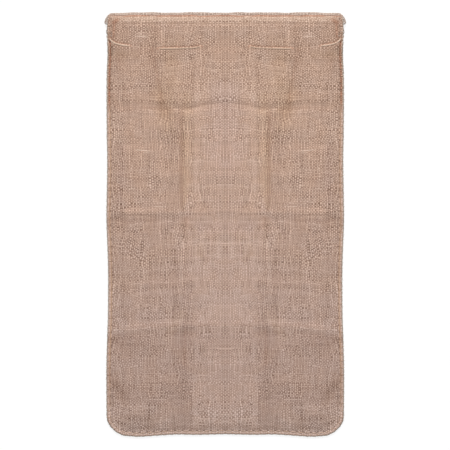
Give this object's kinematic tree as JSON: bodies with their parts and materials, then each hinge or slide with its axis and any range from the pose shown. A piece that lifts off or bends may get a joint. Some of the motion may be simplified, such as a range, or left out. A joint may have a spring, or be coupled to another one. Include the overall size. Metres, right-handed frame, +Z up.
{
  "type": "jute drawstring sack",
  "caption": "Empty jute sack lying flat, with rounded bottom corners, pressed folds, turned hems and a drawstring at its mouth.",
  "frame": {"origin": "middle of the sack's footprint, on the surface that it lies on", "axes": "+Z up, +Y along the sack towards its mouth, +X across it"},
  "size_m": [0.4028, 0.7156, 0.0148],
  "materials": {
    "jute_cloth": "plain-woven hessian, matt",
    "jute_cord": "twisted jute cord, matt"
  },
  "bodies": {
    "root": {"front_panel": "jute_cloth", "back_panel": "jute_cloth", "drawstring": "jute_cord"}
  },
  "joints": []
}
